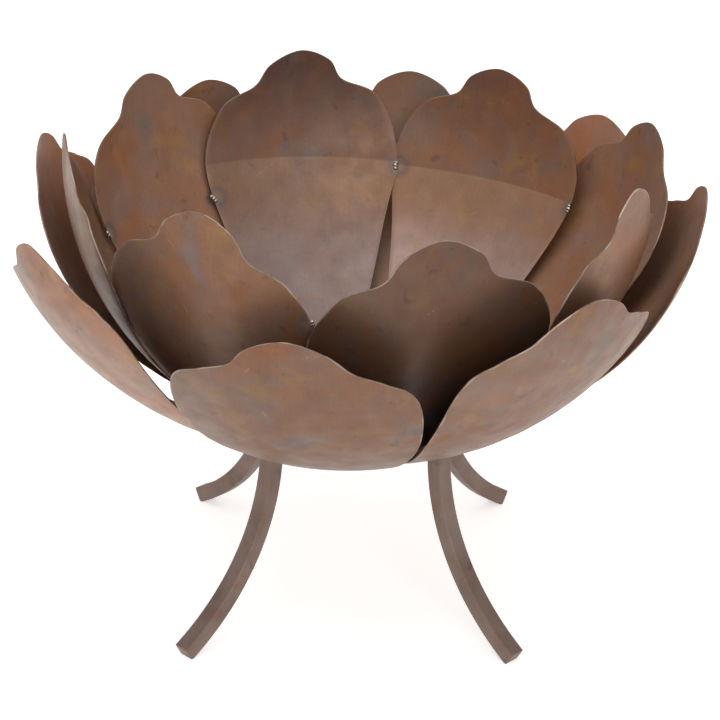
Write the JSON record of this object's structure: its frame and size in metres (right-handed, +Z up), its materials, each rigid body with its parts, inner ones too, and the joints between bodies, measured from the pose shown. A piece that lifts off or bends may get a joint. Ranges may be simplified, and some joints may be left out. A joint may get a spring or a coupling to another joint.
{
  "type": "fire pit with grate",
  "caption": "Lotus-shaped steel fire bowl with two rings of cupped sheet petals, curved square-tube legs and a lift-out round grate.",
  "frame": {"origin": "on the ground under the middle of the outline; the bowl's own middle is 9 mm to the left and 4 mm to the back of it", "axes": "+Z up, +Y to the back, +X to the right as seen from the front"},
  "size_m": [0.7048, 0.7087, 0.5331],
  "materials": {
    "petal_steel": "rust-brown patinated mild steel sheet, satin, sealed, with bare worn edges",
    "leg_steel": "rust-brown patinated square tube, satin",
    "grate_steel": "heat-blackened steel rod with rust",
    "zinc_steel": "zinc-plated fasteners, dulled",
    "weld_metal": "bare weld metal with heat tint"
  },
  "bodies": {
    "bowl": {"inner_petal_1": "petal_steel", "inner_petal_2": "petal_steel", "inner_petal_3": "petal_steel", "inner_petal_4": "petal_steel", "inner_petal_5": "petal_steel", "inner_petal_6": "petal_steel", "inner_petal_7": "petal_steel", "inner_petal_8": "petal_steel", "outer_petal_1": "petal_steel", "outer_petal_2": "petal_steel", "outer_petal_3": "petal_steel", "outer_petal_4": "petal_steel", "outer_petal_5": "petal_steel", "outer_petal_6": "petal_steel", "outer_petal_7": "petal_steel", "outer_petal_8": "petal_steel", "weld_1": "weld_metal", "weld_2": "weld_metal", "weld_3": "weld_metal", "weld_4": "weld_metal", "weld_5": "weld_metal", "weld_6": "weld_metal", "weld_7": "weld_metal", "weld_8": "weld_metal", "base_dish": "petal_steel", "ash_pan": "petal_steel", "leg_back_right": "leg_steel", "leg_front_right": "leg_steel", "leg_front_left": "leg_steel", "leg_back_left": "leg_steel", "strap_back_right": "leg_steel", "strap_front_right": "leg_steel", "strap_front_left": "leg_steel", "strap_back_left": "leg_steel", "bolt_back_right": "zinc_steel", "bolt_front_right": "zinc_steel", "bolt_front_left": "zinc_steel", "bolt_back_left": "zinc_steel", "flange_nut_back_right": "zinc_steel", "flange_nut_front_right": "zinc_steel", "flange_nut_front_left": "zinc_steel", "flange_nut_back_left": "zinc_steel"},
    "grate": {"grate_ring": "grate_steel", "grate_bar_1": "grate_steel", "grate_bar_2": "grate_steel", "grate_bar_3": "grate_steel", "grate_bar_4": "grate_steel", "grate_bar_5": "grate_steel", "grate_bar_6": "grate_steel", "grate_bar_7": "grate_steel", "grate_cross_bar_front": "grate_steel", "grate_cross_bar_back": "grate_steel", "grate_foot_1": "grate_steel", "grate_foot_2": "grate_steel", "grate_foot_3": "grate_steel", "grate_foot_4": "grate_steel", "grate_handle_left": "grate_steel", "grate_handle_right": "grate_steel"}
  },
  "joints": [
    {"name": "grate_lift", "type": "slide", "parent": "bowl", "child": "grate", "axis": [0, 0, 1], "range_m": [0, 0.36]}
  ]
}
